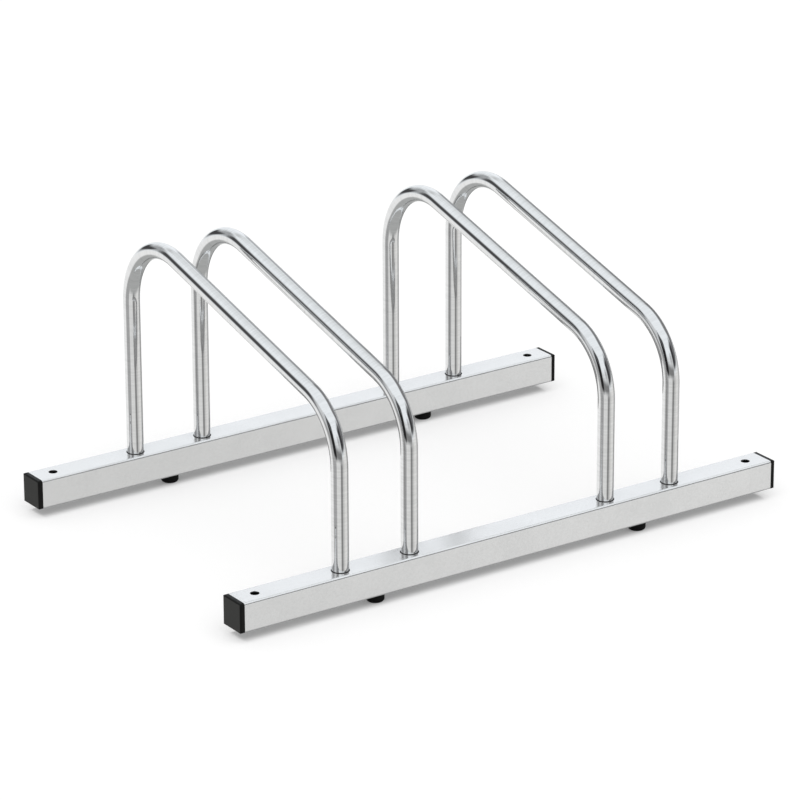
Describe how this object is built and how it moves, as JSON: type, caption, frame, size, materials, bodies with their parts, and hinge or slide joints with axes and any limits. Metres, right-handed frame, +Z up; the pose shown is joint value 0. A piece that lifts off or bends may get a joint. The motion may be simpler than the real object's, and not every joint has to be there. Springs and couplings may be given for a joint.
{
  "type": "bicycle rack",
  "caption": "Low floor-standing bicycle rack: square steel rails on small feet, joined by bent tube hoops in pairs that hold a wheel between them.",
  "frame": {"origin": "on the floor, in the middle of the rack", "axes": "+X along the rails to the right, +Y from the low front rail to the tall rear rail, +Z up"},
  "size_m": [0.625, 0.396, 0.2759],
  "materials": {
    "rail_steel": "bright zinc, satin",
    "hoop_steel": "bright zinc, nearly mirror-like",
    "cap_plastic": "satin black",
    "foot_rubber": "matte black",
    "fixing_steel": "dull zinc"
  },
  "bodies": {
    "root": {"rail_front": "rail_steel", "rail_rear": "rail_steel", "hoop_1": "hoop_steel", "hoop_2": "hoop_steel", "hoop_3": "hoop_steel", "hoop_4": "hoop_steel", "cap_front_left": "cap_plastic", "cap_front_right": "cap_plastic", "cap_rear_left": "cap_plastic", "cap_rear_right": "cap_plastic", "foot_front_left": "foot_rubber", "foot_front_right": "foot_rubber", "foot_rear_left": "foot_rubber", "foot_rear_right": "foot_rubber", "plug_1_front": "fixing_steel", "plug_2_front": "fixing_steel", "plug_3_front": "fixing_steel", "plug_4_front": "fixing_steel", "plug_1_rear": "fixing_steel", "plug_2_rear": "fixing_steel", "plug_3_rear": "fixing_steel", "plug_4_rear": "fixing_steel", "screw_1_front": "fixing_steel", "screw_2_front": "fixing_steel", "screw_3_front": "fixing_steel", "screw_4_front": "fixing_steel", "screw_1_rear": "fixing_steel", "screw_2_rear": "fixing_steel", "screw_3_rear": "fixing_steel", "screw_4_rear": "fixing_steel"}
  },
  "joints": []
}
